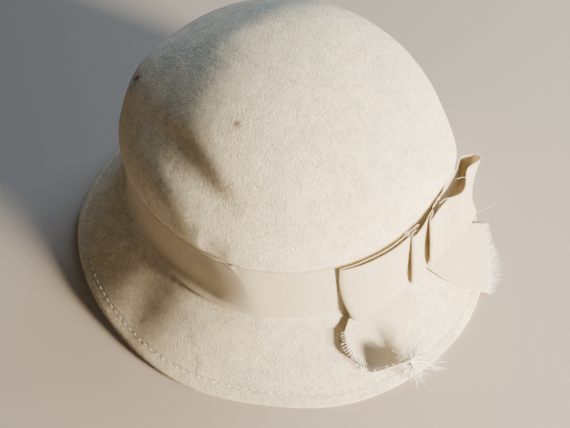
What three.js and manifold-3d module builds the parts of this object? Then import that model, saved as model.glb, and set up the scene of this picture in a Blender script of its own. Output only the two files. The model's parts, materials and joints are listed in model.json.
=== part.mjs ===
// Felt cloche hat with a ribbon band and a flat bow at its side. Millimetres, +Z up.
// The hat stands on the edge of its brim at z = 0 and faces -Y, with its bow at +X.
import * as THREE from "three";
import { mergeVertices } from "three/addons/utils/BufferGeometryUtils.js";
import Module from "manifold-3d";

// Cloth
const FELT = 2.2; // thickness of the blocked felt
const HEM = { width: 8, thickness: 4.4, press: 0.6, slope: 35 }; // brim edge turned under
const HEM_STEP = 0.04; // share of the brim over which the hem's raw edge ends
const RIBBON = { width: 40, thickness: 1 };
const CLEARANCE = 0.3; // between pieces that touch

// Crown, from the turn of the brim up to the tip: rings of felt and where their centres lie
const CROWN_SECTIONS = [
  { height: 37, radius: 94.2, x: 0.0, y: 0.0 },
  { height: 57, radius: 91.0, x: 0.6, y: -0.3 },
  { height: 77, radius: 87.2, x: 1.2, y: -0.5 },
  { height: 84, radius: 88.0, x: 2.2, y: -2.6 },
  { height: 94, radius: 85.0, x: 2.0, y: -3.6 },
  { height: 106, radius: 77.8, x: 0.4, y: -3.4 },
  { height: 118, radius: 66.0, x: -1.8, y: -3.0 },
  { height: 128, radius: 50.4, x: -3.8, y: -2.6 },
  { height: 135, radius: 33.6, x: -5.3, y: -2.3 },
  { height: 138.8, radius: 17.2, x: -6.3, y: -2.1 },
  { height: 140, radius: 0, x: -6.8, y: -2.0 },
];
const BAND_FOOT = 0; // section at the band's lower edge
const BAND_HEAD = 2; // section at its upper edge
const TIP = CROWN_SECTIONS.length - 1;

// Brim edge: how far it reaches, and how far it lifts off the table
const BRIM_EDGE = [
  { azimuth: 0, radius: 135, lift: 0 },
  { azimuth: 20, radius: 130, lift: 0.4 },
  { azimuth: 40, radius: 121.6, lift: 0.6 },
  { azimuth: 60, radius: 119.6, lift: 0.2 },
  { azimuth: 80, radius: 120, lift: 0 },
  { azimuth: 100, radius: 120.6, lift: 0 },
  { azimuth: 120, radius: 121.5, lift: 0.2 },
  { azimuth: 140, radius: 122.5, lift: 0 },
  { azimuth: 160, radius: 123, lift: 0.8 },
  { azimuth: 180, radius: 123.4, lift: 3.4 },
  { azimuth: 200, radius: 125.2, lift: 5.6 },
  { azimuth: 220, radius: 132.6, lift: 6 },
  { azimuth: 240, radius: 132.6, lift: 4.4 },
  { azimuth: 260, radius: 132, lift: 1.6 },
  { azimuth: 280, radius: 132.2, lift: 0 },
  { azimuth: 300, radius: 131, lift: 0 },
  { azimuth: 320, radius: 134.3, lift: 0 },
  { azimuth: 340, radius: 135.2, lift: 0 },
];
const BRIM_HOLLOW = 2; // how far the brim sags below a straight slope

// Dents, and swellings where the depth is negative: the middle, the depth inward, the reach of
// the long and the short way, and the turn of the long way from level
const CROWN_DENTS = [
  { azimuth: -97, height: 50, depth: 5, length: 38, width: 26, turn: 0 },
  { azimuth: -155, height: 48, depth: -3.5, length: 30, width: 28, turn: 0 },
  { azimuth: -145, height: 90, depth: -2.2, length: 34, width: 18, turn: 0 },
  { azimuth: 24, height: 82, depth: -5.6, length: 20, width: 12, turn: 0 },
  { azimuth: -97, height: 114, depth: 3.6, length: 26, width: 8, turn: -4 },
  { azimuth: -99, height: 101, depth: -1.6, length: 26, width: 9, turn: -4 },
  { azimuth: -149, height: 116, depth: -3, length: 22, width: 15, turn: 0 },
  { azimuth: 165, height: 129, depth: 2.2, length: 38, width: 14, turn: 0 },
  { azimuth: -32, height: 115, depth: 0.9, length: 12, width: 9, turn: 0 },
];
const BRIM_WAVES = [
  { azimuth: -101, share: 0.5, depth: 1.5, length: 24, width: 11, turn: 90 },
  { azimuth: -52, share: 0.35, depth: 1.1, length: 26, width: 10, turn: 0 },
  { azimuth: -128, share: 0.6, depth: -1, length: 24, width: 13, turn: 90 },
];

// Bow. Top and low are the upper and lower edges of the ribbon, rise lifts the upper one, and
// waist draws the ribbon in between them
const BOW_TOP = 77.3;
const BOW_LOW = 37.6;
const FRONT_LOOP = [
  { topAzimuth: -6, topRadius: 91, lowAzimuth: -6, lowRadius: 99.2, rise: 0, waist: 0 },
  { topAzimuth: -20, topRadius: 90.9, lowAzimuth: -19, lowRadius: 98.9, rise: 0, waist: 0 },
  { topAzimuth: -33, topRadius: 91, lowAzimuth: -29.5, lowRadius: 99, rise: 0, waist: 0 },
  { topAzimuth: -36.6, topRadius: 91.2, lowAzimuth: -32.6, lowRadius: 100, rise: 0, waist: 0 },
  { topAzimuth: -37.3, topRadius: 92.1, lowAzimuth: -33.4, lowRadius: 101.6, rise: 0, waist: 0 },
  { topAzimuth: -36.4, topRadius: 93, lowAzimuth: -32.6, lowRadius: 103.2, rise: 0, waist: 0 },
  { topAzimuth: -30, topRadius: 93.1, lowAzimuth: -28, lowRadius: 103, rise: 0, waist: 0 },
  { topAzimuth: -20, topRadius: 92.8, lowAzimuth: -19, lowRadius: 101.8, rise: 0, waist: 0 },
  { topAzimuth: -11.8, topRadius: 92.6, lowAzimuth: -12.2, lowRadius: 100.8, rise: 0, waist: 0 },
];
const BACK_LOOP = [
  { topAzimuth: 2, topRadius: 91.2, lowAzimuth: 2, lowRadius: 99.8, rise: 0, waist: 0 },
  { topAzimuth: 12, topRadius: 92.9, lowAzimuth: 11, lowRadius: 100, rise: 0, waist: 0 },
  { topAzimuth: 20, topRadius: 95.8, lowAzimuth: 18.5, lowRadius: 101.2, rise: 0, waist: 0 },
  { topAzimuth: 25, topRadius: 97.6, lowAzimuth: 22.4, lowRadius: 104.4, rise: 0.6, waist: 0 },
  { topAzimuth: 27, topRadius: 101.4, lowAzimuth: 23.6, lowRadius: 110, rise: 1.2, waist: 2 },
  { topAzimuth: 26.6, topRadius: 106.6, lowAzimuth: 22.2, lowRadius: 115, rise: 1.2, waist: 4 },
  { topAzimuth: 25, topRadius: 105.4, lowAzimuth: 20.6, lowRadius: 114.8, rise: 1, waist: 4 },
  { topAzimuth: 23.2, topRadius: 102.6, lowAzimuth: 18.6, lowRadius: 113.8, rise: 0.6, waist: 2.5 },
  { topAzimuth: 19.4, topRadius: 101.4, lowAzimuth: 15.5, lowRadius: 112.4, rise: 0, waist: 1 },
  { topAzimuth: 13.4, topRadius: 101.3, lowAzimuth: 11, lowRadius: 109.4, rise: 0, waist: 0 },
  { topAzimuth: 8.8, topRadius: 97.4, lowAzimuth: 8.2, lowRadius: 106.8, rise: 0, waist: 0 },
  { topAzimuth: 6.9, topRadius: 94, lowAzimuth: 6.7, lowRadius: 105.2, rise: 0, waist: 0 },
];
// Pleated knot, left to right. Gape opens a pleat at half height, in degrees
const KNOT = [
  { azimuth: -11.2, topRadius: 92.3, lowRadius: 100.6, gape: 0.3 },
  { azimuth: -10.2, topRadius: 92.8, lowRadius: 101.4, gape: 0 },
  { azimuth: -6.8, topRadius: 92.9, lowRadius: 101.8, gape: 0 },
  { azimuth: -3.4, topRadius: 92.8, lowRadius: 102, gape: -0.9 },
  { azimuth: -3, topRadius: 92.3, lowRadius: 101, gape: -0.9 },
  { azimuth: -2.8, topRadius: 91.4, lowRadius: 99.4, gape: -0.7 },
  { azimuth: -1.6, topRadius: 91.4, lowRadius: 99.4, gape: 0.7 },
  { azimuth: -1.4, topRadius: 92.3, lowRadius: 101, gape: 0.9 },
  { azimuth: -1, topRadius: 92.8, lowRadius: 102.4, gape: 0.9 },
  { azimuth: 2.4, topRadius: 92.9, lowRadius: 103, gape: 0 },
  { azimuth: 5.9, topRadius: 93.2, lowRadius: 104.2, gape: 0 },
];

// Tails, from under the knot to the cut end. Each edge and the middle has an azimuth, a reach
// down the hat from the band's upper edge, and a lift off the surface under it
const FRONT_TAIL = {
  left: [
    { azimuth: -10.5, reach: 29, lift: 0.85 },
    { azimuth: -16.5, reach: 36, lift: 0.9 },
    { azimuth: -24, reach: 41, lift: 1.1 },
    { azimuth: -31, reach: 44.5, lift: 1.6 },
    { azimuth: -34.8, reach: 48, lift: 3 },
  ],
  middle: [
    { azimuth: -7.5, reach: 29, lift: 0.85 },
    { azimuth: -12, reach: 40, lift: 1 },
    { azimuth: -19, reach: 49, lift: 1.2 },
    { azimuth: -27, reach: 59, lift: 1.4 },
    { azimuth: -33.4, reach: 66, lift: 3 },
  ],
  right: [
    { azimuth: -4.5, reach: 29, lift: 0.85 },
    { azimuth: -8, reach: 42, lift: 1 },
    { azimuth: -12.5, reach: 55, lift: 1.2 },
    { azimuth: -17.5, reach: 67, lift: 2 },
    { azimuth: -23, reach: 77, lift: 9 },
  ],
};
const BACK_TAIL = {
  left: [
    { azimuth: -3.6, reach: 29, lift: 0.85 },
    { azimuth: -2.6, reach: 42, lift: 1 },
    { azimuth: -0.2, reach: 58, lift: 1.2 },
    { azimuth: 3.6, reach: 76, lift: 1.1 },
    { azimuth: 8.4, reach: 95, lift: 1.8 },
  ],
  middle: [
    { azimuth: -0.8, reach: 29, lift: 0.85 },
    { azimuth: 4, reach: 42, lift: 1 },
    { azimuth: 9, reach: 58, lift: 2.2 },
    { azimuth: 14, reach: 75, lift: 2.4 },
    { azimuth: 18.6, reach: 90, lift: 2.2 },
  ],
  right: [
    { azimuth: 2.2, reach: 29, lift: 0.85 },
    { azimuth: 11, reach: 42, lift: 1 },
    { azimuth: 20, reach: 57, lift: 2.6 },
    { azimuth: 25.6, reach: 73, lift: 3.4 },
    { azimuth: 29.6, reach: 89, lift: 2.6 },
  ],
};
// Frayed threads in locks along a cut end, from its left edge at 0 to its right at 1. A group
// leans to the right by an angle and fans out over another, and its tips rise off the ribbon
const FRONT_FRAY = [
  { from: 0.05, to: 0.8, count: 9, length: 3, width: 2.6, lean: 0, fan: 0, rise: 0 },
  { from: 0.93, to: 0.97, count: 7, length: 12, width: 1.8, lean: 140, fan: 200, rise: 3 },
];
const BACK_FRAY = [
  { from: 0.04, to: 0.96, count: 10, length: 7.5, width: 3.6, lean: 0, fan: 14, rise: -1 },
];
const LOCK = { thickness: 0.7, root: 1.2, tip: 0.5, steps: 3 }; // root in the ribbon, tip to width
const FLOOR_GAP = 0.5; // loose threads stay this far off the table
const BAND_STEP = 4; // a tail comes down off the band's lower edge over this length

// Columns round the hat and rows from the tip over the edge to the inside of the tip
const COLUMNS = 72;
const OUTER_ROWS = [
  9.6, 9.1, 8.6, 8.1, 7.6, 7.1, 6.6, 6.1, 5.6, 5.1, 4.6, 4.2, 3.8, 3.4, 3, 2.6, 2.25, 2, 1.33, 0.67, 0,
  -0.1, -0.25, -0.42, -0.58, -0.74, -0.86, -0.95,
];
const RIM_TURNS = [0, 40, 75, 105, 130, 155, 180];
const INNER_ROWS = [-0.55, -0.3, -0.12, 0, 1, 2, 3, 4, 5, 6, 7, 8, 9];
// Steps along each row of the bow's tables and across the ribbon
const FOLD_STEPS = 3;
const FOLD_ACROSS = 4;
const TAIL_STEPS = 8;
const TAIL_ACROSS = 5;
// Short steps that give the direction of a surface: degrees round, sections or shares up it, and
// millimetres down the outside of the hat
const STEP_ROUND = 0.5;
const STEP_UP = 0.02;
const STEP_DOWN = 4;
const STEP_SIDE = 2;
const EDGE_SHARE = 0.05;
const FELT_LOOK = { color: 0xe6dfcd, roughness: 0.95, metalness: 0 };
const RIBBON_LOOK = { color: 0xe9dfca, roughness: 0.7, metalness: 0 };

const wasm = await Module();
wasm.setup();

const rad = THREE.MathUtils.degToRad;

// Point at an azimuth round the hat's axis
function polar(azimuth, radius, height) {
  return new THREE.Vector3(radius * Math.cos(rad(azimuth)), radius * Math.sin(rad(azimuth)), height);
}

// Share of a bulge: nothing at both ends and all of it half-way
function bulge(share) {
  return 4 * share * (1 - share);
}

// Smooth curve through a table, a point for each row
function curveThrough(rows, point, closed = false) {
  return new THREE.CatmullRomCurve3(rows.map(point), closed);
}

const sectionCurve = curveThrough(CROWN_SECTIONS, (row) => new THREE.Vector3(row.radius, 0, row.height));
const centreCurve = curveThrough(CROWN_SECTIONS, (row) => new THREE.Vector3(row.x, row.y, 0));
const edgeCurve = curveThrough(BRIM_EDGE, (row) => polar(row.azimuth, row.radius, row.lift), true);

// Smooth crown: v counts the sections up from the brim
function crownFace(azimuth, v) {
  const section = sectionCurve.getPoint(v / TIP);
  return centreCurve.getPoint(v / TIP).add(polar(azimuth, section.x, section.z));
}

// Smooth brim: share runs from 0 at the crown to 1 at the edge
function brimFace(azimuth, share) {
  const edge = edgeCurve.getPoint(THREE.MathUtils.euclideanModulo(azimuth, 360) / 360);
  const inset = (HEM.thickness / 2) * (1 - Math.sin(rad(HEM.slope)));
  edge.sub(polar(azimuth, inset, 0));
  edge.z += (HEM.thickness / 2) * (1 + Math.cos(rad(HEM.slope))) - HEM.press;
  const point = crownFace(azimuth, BAND_FOOT).lerp(edge, share);
  point.z -= BRIM_HOLLOW * bulge(share);
  return point;
}

// Outer face of the felt before it is dented: v is a crown section, or minus a share of the brim
function smoothFace(azimuth, v) {
  return v >= 0 ? crownFace(azimuth, v) : brimFace(azimuth, -v);
}

// Outward direction of a face at a place
function outward(face, azimuth, v, stepRound = STEP_ROUND, stepUp = STEP_UP) {
  const round = face(azimuth + stepRound, v).sub(face(azimuth - stepRound, v));
  const up = face(azimuth, Math.min(v + stepUp, TIP)).sub(face(azimuth, v - stepUp));
  return round.cross(up).normalize();
}

// Section of the crown at a height
function sectionAt(height) {
  let low = 0;
  let high = TIP;
  while (high - low > 0.001) {
    const middle = (low + high) / 2;
    if (sectionCurve.getPoint(middle / TIP).z < height) {
      low = middle;
    } else {
      high = middle;
    }
  }
  return low;
}

// A dent's middle, its outward, long and short directions, and its sizes
function placeDent(dent, v) {
  const out = outward(smoothFace, dent.azimuth, v);
  const level = new THREE.Vector3(0, 0, 1).cross(out).normalize();
  const along = level.clone().applyAxisAngle(out, rad(dent.turn));
  const across = out.clone().cross(along);
  return { ...dent, middle: smoothFace(dent.azimuth, v), out, along, across };
}

const dents = [
  ...CROWN_DENTS.map((dent) => placeDent(dent, sectionAt(dent.height))),
  ...BRIM_WAVES.map((dent) => placeDent(dent, -dent.share)),
];

// Outer face of the felt with its dents
function feltFace(azimuth, v) {
  const smooth = smoothFace(azimuth, v);
  const point = smooth.clone();
  for (const dent of dents) {
    const away = smooth.clone().sub(dent.middle);
    const along = away.dot(dent.along) / dent.length;
    const across = away.dot(dent.across) / dent.width;
    const behind = away.dot(dent.out) / dent.length;
    const share = Math.exp(-along * along - across * across - behind * behind);
    point.addScaledVector(dent.out, -dent.depth * share);
  }
  return point;
}

// The felt's face moved out by an amount, or in by a negative one
function feltOffset(azimuth, v, amount) {
  return feltFace(azimuth, v).addScaledVector(outward(feltFace, azimuth, v), amount);
}

// Closed solid from points and triangles, turned to face out
function solid(points, triangles) {
  let volume = 0;
  for (let i = 0; i < triangles.length; i += 3) {
    const [a, b, c] = triangles.slice(i, i + 3).map((corner) => points[corner]);
    volume += a.dot(b.clone().cross(c));
  }
  const index = volume < 0 ? triangles.slice().reverse() : triangles;
  const geometry = new THREE.BufferGeometry().setFromPoints(points);
  geometry.setIndex(index);
  geometry.computeVertexNormals();
  return geometry;
}

// Skin over rings with the same number of points. Its ends are joined to each other, brought to
// poles, or closed flat between the two faces of a strip
function loft(rings, { joined = false, poles = [] } = {}) {
  const size = rings[0].length;
  const points = [...rings.flat(), ...poles];
  const triangles = [];
  const spans = joined ? rings.length : rings.length - 1;
  for (let i = 0; i < spans; i += 1) {
    const here = i * size;
    const next = ((i + 1) % rings.length) * size;
    for (let j = 0; j < size; j += 1) {
      const k = (j + 1) % size;
      triangles.push(here + j, here + k, next + k, here + j, next + k, next + j);
    }
  }
  const last = (rings.length - 1) * size;
  for (let j = 0; poles.length && j < size; j += 1) {
    const k = (j + 1) % size;
    triangles.push(rings.length * size, k, j, rings.length * size + 1, last + j, last + k);
  }
  for (let j = 0; !joined && !poles.length && j < size / 2 - 1; j += 1) {
    const across = size - 1 - j;
    triangles.push(j, across - 1, j + 1, j, across, across - 1);
    triangles.push(last + j, last + j + 1, last + across - 1, last + j, last + across - 1, last + across);
  }
  return solid(points, triangles);
}

// One ring of points round the hat
function ring(point) {
  return Array.from({ length: COLUMNS }, (_, column) => point((360 * column) / COLUMNS));
}

// Crown and brim of one felt, with the brim's edge turned under and flat where it rests
function feltBody() {
  const hemShare = (azimuth) => 1 - HEM.width / brimFace(azimuth, 1).distanceTo(brimFace(azimuth, 0));
  const rim = (azimuth, turn) => {
    const out = outward(feltFace, azimuth, -1);
    const radial = feltFace(azimuth, -1).sub(feltFace(azimuth, EDGE_SHARE - 1)).normalize();
    const middle = feltFace(azimuth, -1).addScaledVector(out, -HEM.thickness / 2);
    middle.addScaledVector(out, (HEM.thickness / 2) * Math.cos(rad(turn)));
    return middle.addScaledVector(radial, (HEM.thickness / 2) * Math.sin(rad(turn)));
  };
  const rings = [
    ...OUTER_ROWS.map((v) => ring((azimuth) => feltFace(azimuth, v))),
    ...RIM_TURNS.map((turn) => ring((azimuth) => rim(azimuth, turn))),
    ring((azimuth) => feltOffset(azimuth, -hemShare(azimuth), -HEM.thickness)),
    ring((azimuth) => feltOffset(azimuth, HEM_STEP - hemShare(azimuth), -FELT)),
    ...INNER_ROWS.map((v) => ring((azimuth) => feltOffset(azimuth, v, -FELT))),
  ];
  const tip = crownFace(0, TIP);
  const poles = [tip, tip.clone().setZ(tip.z - FELT)];
  const geometry = loft(rings, { poles });
  const position = geometry.getAttribute("position");
  for (let i = 0; i < position.count; i += 1) {
    position.setZ(i, Math.max(0, position.getZ(i)));
  }
  return geometry;
}

// Ribbon round the foot of the crown, on the felt
function bandRing() {
  const rows = OUTER_ROWS.filter((v) => v >= BAND_FOOT && v <= BAND_HEAD);
  const inside = rows.map((v) => ring((azimuth) => feltOffset(azimuth, v, CLEARANCE)));
  const outside = rows.map((v) => ring((azimuth) => feltOffset(azimuth, v, CLEARANCE + RIBBON.thickness)));
  return loft([...inside, ...outside.reverse()], { joined: true });
}

// Strip of cloth about a grid of points, rows of which run across it
function strip(grid, thickness = RIBBON.thickness) {
  const last = grid.length - 1;
  const edge = grid[0].length - 1;
  const rings = grid.map((row, i) => {
    const half = row.map((_, j) => {
      const along = grid[Math.min(i + 1, last)][j].clone().sub(grid[Math.max(i - 1, 0)][j]);
      const across = row[Math.min(j + 1, edge)].clone().sub(row[Math.max(j - 1, 0)]);
      return along.cross(across).setLength(thickness / 2);
    });
    const front = row.map((point, j) => point.clone().add(half[j]));
    const back = row.map((point, j) => point.clone().sub(half[j]));
    return [...front, ...back.reverse()];
  });
  return loft(rings);
}

// Steps between two numbers, both ends included
function steps(count) {
  return Array.from({ length: count + 1 }, (_, i) => i / count);
}

// Loop of the bow, folded back on itself at its far end
function bowLoop(rows) {
  const top = curveThrough(rows, (row) => polar(row.topAzimuth, row.topRadius, BOW_TOP + row.rise));
  const low = curveThrough(rows, (row) => polar(row.lowAzimuth, row.lowRadius, BOW_LOW));
  const waist = curveThrough(rows, (row) => new THREE.Vector3(row.waist, 0, 0));
  const point = (t, s) => {
    const straight = top.getPoint(t).lerp(low.getPoint(t), s);
    const inward = new THREE.Vector3(-straight.x, -straight.y, 0).normalize();
    return straight.addScaledVector(inward, waist.getPoint(t).x * bulge(s));
  };
  return strip(steps((rows.length - 1) * FOLD_STEPS).map((t) => steps(FOLD_ACROSS).map((s) => point(t, s))));
}

// Pleated middle of the bow
function bowKnot() {
  const edge = (share) => curveThrough(KNOT, (row) => {
    const radius = THREE.MathUtils.lerp(row.topRadius, row.lowRadius, share);
    const azimuth = row.azimuth + row.gape * bulge(share);
    return polar(azimuth, radius, THREE.MathUtils.lerp(BOW_TOP, BOW_LOW, share));
  });
  const lines = steps(FOLD_ACROSS).map(edge);
  return strip(steps((KNOT.length - 1) * FOLD_STEPS).map((t) => lines.map((line) => line.getPoint(t))));
}

// Outside of the hat: reach runs down the band from its upper edge and on along the brim
function hatFace(azimuth, reach) {
  if (reach <= RIBBON.width) {
    const v = THREE.MathUtils.lerp(BAND_HEAD, BAND_FOOT, reach / RIBBON.width);
    return feltOffset(azimuth, v, CLEARANCE + RIBBON.thickness);
  }
  const brim = brimFace(azimuth, 1).distanceTo(brimFace(azimuth, 0));
  const past = reach - RIBBON.width;
  const step = Math.max(0, 1 - past / BAND_STEP) * (CLEARANCE + RIBBON.thickness);
  return feltOffset(azimuth, -past / brim, step);
}

// Place on the hat's outside, lifted off it
function hatPoint({ x: azimuth, y: reach, z: lift }) {
  const out = outward(hatFace, azimuth, reach, STEP_SIDE, -STEP_DOWN);
  return hatFace(azimuth, reach).addScaledVector(out, lift);
}

// Middle surface of a tail: stations along it, points across
function tailGrid(table) {
  const place = (row) => new THREE.Vector3(row.azimuth, row.reach, row.lift);
  const left = curveThrough(table.left, place);
  const middle = curveThrough(table.middle, place);
  const right = curveThrough(table.right, place);
  const point = (t, s) => {
    const mix = left.getPoint(t).multiplyScalar((1 - s) * (1 - 2 * s));
    mix.addScaledVector(middle.getPoint(t), bulge(s));
    mix.addScaledVector(right.getPoint(t), s * (2 * s - 1));
    return hatPoint(mix);
  };
  return steps(TAIL_STEPS).map((t) => steps(TAIL_ACROSS).map((s) => point(t, s)));
}

// Manifold solid of a geometry
function manifold(geometry) {
  const bare = geometry.clone();
  bare.deleteAttribute("normal");
  const merged = mergeVertices(bare);
  const vertProperties = new Float32Array(merged.getAttribute("position").array);
  const triVerts = new Uint32Array(merged.getIndex().array);
  return new wasm.Manifold(new wasm.Mesh({ numProp: 3, vertProperties, triVerts }));
}

// Solids joined into one
function fuse(geometries) {
  const joined = geometries.map(manifold).reduce((whole, next) => whole.add(next));
  const mesh = joined.getMesh();
  const geometry = new THREE.BufferGeometry();
  geometry.setAttribute("position", new THREE.BufferAttribute(new Float32Array(mesh.vertProperties), 3));
  geometry.setIndex(Array.from(mesh.triVerts));
  geometry.computeVertexNormals();
  return geometry;
}

// Locks of thread that stand out from the cut end of a tail
function frayLocks(grid, groups) {
  const end = grid[grid.length - 1];
  const before = grid[grid.length - 2];
  const at = (row, share) => {
    const place = share * (row.length - 1);
    const cell = Math.min(Math.floor(place), row.length - 2);
    return row[cell].clone().lerp(row[cell + 1], place - cell);
  };
  return groups.flatMap((group) => Array.from({ length: group.count }, (_, k) => {
    const step = k / (group.count - 1);
    const share = THREE.MathUtils.lerp(group.from, group.to, step);
    const tip = at(end, share);
    const forward = tip.clone().sub(at(before, share)).normalize();
    const right = at(end, Math.min(share + EDGE_SHARE, 1));
    const side = right.sub(at(end, Math.max(share - EDGE_SHARE, 0))).normalize();
    const up = side.clone().cross(forward).normalize();
    if (up.z < 0) {
      up.negate();
    }
    const turn = rad(group.lean + group.fan * (step - 0.5));
    const way = forward.multiplyScalar(Math.cos(turn)).addScaledVector(side, Math.sin(turn)).normalize();
    const across = way.clone().cross(up).normalize();
    const rows = steps(LOCK.steps).map((s) => {
      const middle = tip.clone().addScaledVector(way, THREE.MathUtils.lerp(-LOCK.root, group.length, s));
      middle.addScaledVector(up, group.rise * s * s);
      middle.z = Math.max(middle.z, FLOOR_GAP + LOCK.thickness / 2);
      const half = (group.width / 2) * THREE.MathUtils.lerp(1, LOCK.tip, s);
      return [middle.clone().addScaledVector(across, -half), middle.clone().addScaledVector(across, half)];
    });
    return strip(rows, LOCK.thickness);
  }));
}

// Tail of the bow with its frayed end
function bowTail(table, fray) {
  const grid = tailGrid(table);
  return fuse([strip(grid), ...frayLocks(grid, fray)]);
}

// Named piece of the hat
function piece(name, geometry, look) {
  const mesh = new THREE.Mesh(geometry, new THREE.MeshStandardMaterial(look));
  mesh.name = name;
  return mesh;
}

const hat = new THREE.Group();
hat.add(
  piece("felt_body", feltBody(), FELT_LOOK),
  piece("band", bandRing(), RIBBON_LOOK),
  piece("bow_loop_front", bowLoop(FRONT_LOOP), RIBBON_LOOK),
  piece("bow_loop_back", bowLoop(BACK_LOOP), RIBBON_LOOK),
  piece("bow_knot", bowKnot(), RIBBON_LOOK),
  piece("bow_tail_front", bowTail(FRONT_TAIL, FRONT_FRAY), RIBBON_LOOK),
  piece("bow_tail_back", bowTail(BACK_TAIL, BACK_FRAY), RIBBON_LOOK),
);

// The origin is under the middle of the hat
const middle = new THREE.Box3().setFromObject(hat).getCenter(new THREE.Vector3());
hat.position.set(-middle.x, -middle.y, 0);

export default hat;
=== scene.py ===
import json
import math
import random

import bpy
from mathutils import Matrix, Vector
from mathutils.bvhtree import BVHTree

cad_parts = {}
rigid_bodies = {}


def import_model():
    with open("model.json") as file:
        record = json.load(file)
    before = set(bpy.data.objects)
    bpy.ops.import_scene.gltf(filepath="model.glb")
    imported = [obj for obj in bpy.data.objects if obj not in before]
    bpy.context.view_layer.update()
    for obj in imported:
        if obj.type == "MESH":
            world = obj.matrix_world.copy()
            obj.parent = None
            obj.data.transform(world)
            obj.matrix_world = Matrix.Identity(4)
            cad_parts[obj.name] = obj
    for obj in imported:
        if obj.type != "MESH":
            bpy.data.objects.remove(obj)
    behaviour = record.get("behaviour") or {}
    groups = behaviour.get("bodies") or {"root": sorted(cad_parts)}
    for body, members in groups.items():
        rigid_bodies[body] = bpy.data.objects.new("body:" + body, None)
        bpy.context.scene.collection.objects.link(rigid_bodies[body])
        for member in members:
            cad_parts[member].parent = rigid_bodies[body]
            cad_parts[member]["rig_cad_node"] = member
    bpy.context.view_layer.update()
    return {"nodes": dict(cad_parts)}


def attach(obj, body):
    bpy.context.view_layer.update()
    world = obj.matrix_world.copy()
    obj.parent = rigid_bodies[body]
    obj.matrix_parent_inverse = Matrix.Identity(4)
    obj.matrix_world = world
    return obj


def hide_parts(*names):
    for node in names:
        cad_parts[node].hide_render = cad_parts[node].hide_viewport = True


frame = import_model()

# The crown's axis, in the frame of the solids. Lengths in the tables are millimetres.
AXIS = Vector((-0.008329, 0.006040, 0.0))
MM = 0.001
DOWN = Vector((0, 0, -1))
BAND_TOP = 77.3
BAND_FOOT = 37.6
BAND_OUT = 1.3  # from the felt to the outside of the band
BAND_STEP = 4.0  # run over which cloth steps down from the band to the brim
BAND_RADIUS = 93.0  # for laying out the weave round the band
RIBBON_WIDTH = 40.0
RIBBON_THICK = 0.5
STITCH_INSET = 5.8  # from the brim's edge to the row of stitches
STITCH_PITCH = 4.6
STITCH_HALVES = (1.6, 0.42, 0.3)  # half of a stitch's length, width and height
STITCH_SUNK = 0.12
FLOOR_GAP = 0.4  # the lowest a thread may hang
EDGE_LOW = 2.6  # where the brim's upper side ends
EDGE_HIGH = 14.0  # the brim's edge is all below this

# Bow loops: azimuth and radius of the upper edge, the same of the lower edge, how far the upper
# edge rises and the lower one drops, and at half width how far the ribbon draws in and leans
# round the hat, in degrees
FRONT_LOOP = (
    (-6.0, 91.0, -6.0, 99.2, 0.0, 0.0, 0.0, 0.0),
    (-20.0, 90.9, -19.0, 98.6, 0.0, 0.3, 0.0, 0.0),
    (-33.0, 90.9, -29.5, 99.4, 0.0, 1.4, 1.0, -0.8),
    (-36.6, 90.8, -32.6, 100.2, 0.0, 2.4, 2.0, -1.3),
    (-37.4, 91.2, -33.4, 101.2, 0.0, 2.7, 2.2, -1.4),
    (-36.4, 91.8, -32.5, 102.6, 0.0, 2.6, 2.0, -1.3),
    (-30.0, 92.6, -28.0, 102.6, 0.0, 1.5, 1.0, -0.5),
    (-20.0, 92.8, -19.0, 101.9, 0.0, 0.4, 0.0, 0.0),
    (-13.0, 92.4, -13.0, 100.9, 0.0, 0.0, 0.0, 0.0),
    (-8.4, 91.9, -8.4, 100.1, 0.0, 0.0, 0.0, 0.0),
)
BACK_LOOP = (
    (2.0, 91.2, 2.0, 99.8, 0.0, 0.0, 0.0, 0.0),
    (12.0, 92.9, 11.0, 100.0, 0.0, 0.0, 0.0, 0.0),
    (20.0, 95.6, 18.5, 101.2, 0.0, 0.0, 0.0, 0.0),
    (24.6, 96.6, 22.0, 103.6, 0.6, 0.0, 0.0, 0.0),
    (25.3, 97.3, 22.8, 105.4, 0.9, 0.0, 0.3, -0.1),
    (26.1, 100.6, 23.5, 109.4, 1.2, 0.0, 1.2, -0.6),
    (26.6, 103.9, 23.5, 112.8, 1.4, 0.0, 2.2, -1.1),
    (25.7, 107.2, 22.8, 114.9, 1.3, 0.0, 3.2, -1.6),
    (25.2, 107.6, 22.5, 115.2, 1.2, 0.0, 3.4, -1.7),
    (24.2, 106.2, 21.8, 115.3, 1.0, 0.0, 3.4, -1.7),
    (22.6, 103.4, 20.8, 115.0, 0.8, 0.0, 3.0, -1.5),
    (20.8, 101.3, 19.4, 114.4, 0.6, 0.0, 2.2, -1.1),
    (18.4, 101.0, 17.4, 113.4, 0.3, 0.0, 1.2, -0.6),
    (15.0, 102.0, 14.4, 111.8, 0.0, 0.0, 0.4, -0.2),
    (11.6, 101.4, 11.0, 109.4, 0.0, 0.0, 0.0, 0.0),
    (8.8, 97.8, 8.2, 106.8, 0.0, 0.0, 0.0, 0.0),
    (6.9, 94.6, 6.7, 105.2, 0.0, 0.0, 0.0, 0.0),
    (4.6, 93.2, 4.6, 103.4, 0.0, 0.0, 0.0, 0.0),
)
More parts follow.
